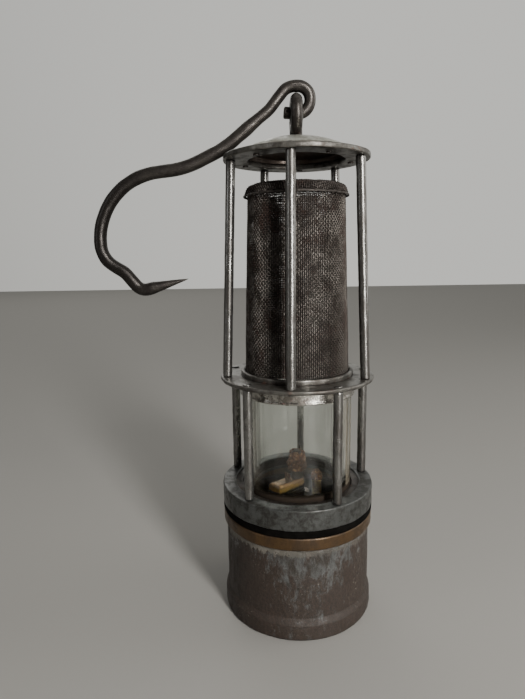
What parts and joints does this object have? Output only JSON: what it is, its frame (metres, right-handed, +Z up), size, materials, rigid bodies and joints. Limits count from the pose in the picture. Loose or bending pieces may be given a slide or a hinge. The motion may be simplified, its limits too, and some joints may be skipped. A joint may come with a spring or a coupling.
{
  "type": "miner's flame safety lamp",
  "caption": "Miner's flame safety lamp: fuel vessel, thick glass cylinder, gauze chimney inside a cage of pillars, and a long swinging hook on a swivel eye.",
  "frame": {"origin": "centre of the vessel's foot, in the plane of the table", "axes": "+Z up along the lamp's axis; the hook lies in the XZ plane and leans to -X; the lock is at +Y"},
  "size_m": [0.149, 0.0938, 0.2846],
  "materials": {
    "vessel_steel": "worn sheet steel with rust and remains of grey plating",
    "aged_brass": "dull browned brass",
    "sooty_brass": "brass darkened by soot",
    "burner_brass": "handled brass, bright on the edges",
    "gasket_fibre": "matt fibre",
    "cotton": "loose cotton, charred at the wick's top",
    "rusted_iron": "heavily rusted",
    "nickel_screw": "polished nickel",
    "waxed_strip": "waxed paper strip",
    "black_seal": "matt black",
    "grey_ring": "grey patina with mottled stains",
    "spring_steel": "oiled steel",
    "dark_steel": "dark steel",
    "clear_glass": "thick clear glass",
    "worn_steel": "worn steel with brown rust at the rims",
    "pillar_steel": "dark satin steel with a bright worn line",
    "gauze_wire": "woven iron wire, brown rust blotches",
    "hook_iron": "forged iron, brown-grey"
  },
  "bodies": {
    "vessel": {"vessel_shell": "vessel_steel", "screw_collar": "aged_brass", "vessel_bottom": "vessel_steel", "vessel_deck": "sooty_brass", "filler_neck": "aged_brass", "filler_washer": "gasket_fibre", "filler_plug": "aged_brass", "cotton_wadding": "cotton", "wick_gland": "aged_brass", "wick_tube": "sooty_brass", "burner_crown": "rusted_iron", "burner_base": "sooty_brass", "burner_screws": "nickel_screw", "relighter_housing": "burner_brass", "relighter_bracket": "burner_brass", "relighter_tube": "aged_brass", "relighter_strip": "waxed_strip", "striker_plate": "rusted_iron"},
    "seal": {"seal_ring": "black_seal"},
    "frame": {"base_ring": "grey_ring", "lock_housing": "grey_ring", "lock_spring": "spring_steel", "glass_clamp_ring": "dark_steel", "glass_seat_gasket": "gasket_fibre", "glass": "clear_glass", "glass_top_gasket": "gasket_fibre", "glass_collar": "worn_steel", "middle_plate": "worn_steel", "lower_pillar_1": "pillar_steel", "lower_pillar_2": "pillar_steel", "lower_pillar_3": "pillar_steel", "lower_pillar_4": "pillar_steel", "lower_pillar_5": "pillar_steel", "upper_pillar_1": "pillar_steel", "upper_pillar_2": "pillar_steel", "upper_pillar_3": "pillar_steel", "upper_pillar_4": "pillar_steel", "upper_pillar_5": "pillar_steel", "gauze_foot_ring": "dark_steel", "outer_gauze": "gauze_wire", "inner_gauze": "gauze_wire", "gauze_cap": "gauze_wire", "top_disc": "worn_steel", "dome": "worn_steel", "dome_rivets": "dark_steel"},
    "lock": {"lock_bolt": "spring_steel"},
    "swivel": {"swivel_eye": "hook_iron", "swivel_washer": "dark_steel"},
    "hook": {"hook": "hook_iron"},
    "wick_drive": {"wick_knob": "aged_brass", "wick_screw": "aged_brass"},
    "wick_lift": {"wick": "cotton", "wick_carrier": "aged_brass"},
    "relighter_drive": {"relighter_knob": "aged_brass", "relighter_wheel": "spring_steel"}
  },
  "joints": [
    {"name": "frame_rise", "type": "slide", "parent": "vessel", "child": "seal", "axis": [0, 0, 1], "range_m": [0, 0.008]},
    {"name": "frame_unscrew", "type": "hinge", "parent": "seal", "child": "frame", "pos_m": [0, 0, 0.0618], "axis": [0, 0, 1], "range_deg": [0, 1440]},
    {"name": "lock_bolt_push", "type": "slide", "parent": "frame", "child": "lock", "axis": [0, -1, 0], "range_m": [0, 0.0017], "deforming": ["lock_spring"]},
    {"name": "swivel_turn", "type": "hinge", "parent": "frame", "child": "swivel", "pos_m": [0, 0, 0.2572], "axis": [0, 0, 1], "continuous": true},
    {"name": "hook_swing", "type": "hinge", "parent": "swivel", "child": "hook", "pos_m": [0, 0, 0.2751], "axis": [0, 1, 0], "range_deg": [0, 240]},
    {"name": "wick_knob_turn", "type": "hinge", "parent": "vessel", "child": "wick_drive", "pos_m": [0.012, 0.007, 0.006], "axis": [0, 0, 1], "range_deg": [-720, 1080]},
    {"name": "wick_rise", "type": "slide", "parent": "vessel", "child": "wick_lift", "axis": [0, 0, 1], "range_m": [-0.004, 0.006]},
    {"name": "relighter_turn", "type": "hinge", "parent": "vessel", "child": "relighter_drive", "pos_m": [-0.00951, -0.00856, 0.006], "axis": [0, 0, 1], "continuous": true}
  ],
  "couplings": [
    {"joint": "frame_rise", "follows": "frame_unscrew", "m_per_rad": 0.00031831},
    {"joint": "wick_rise", "follows": "wick_knob_turn", "m_per_rad": 0.00031831}
  ]
}
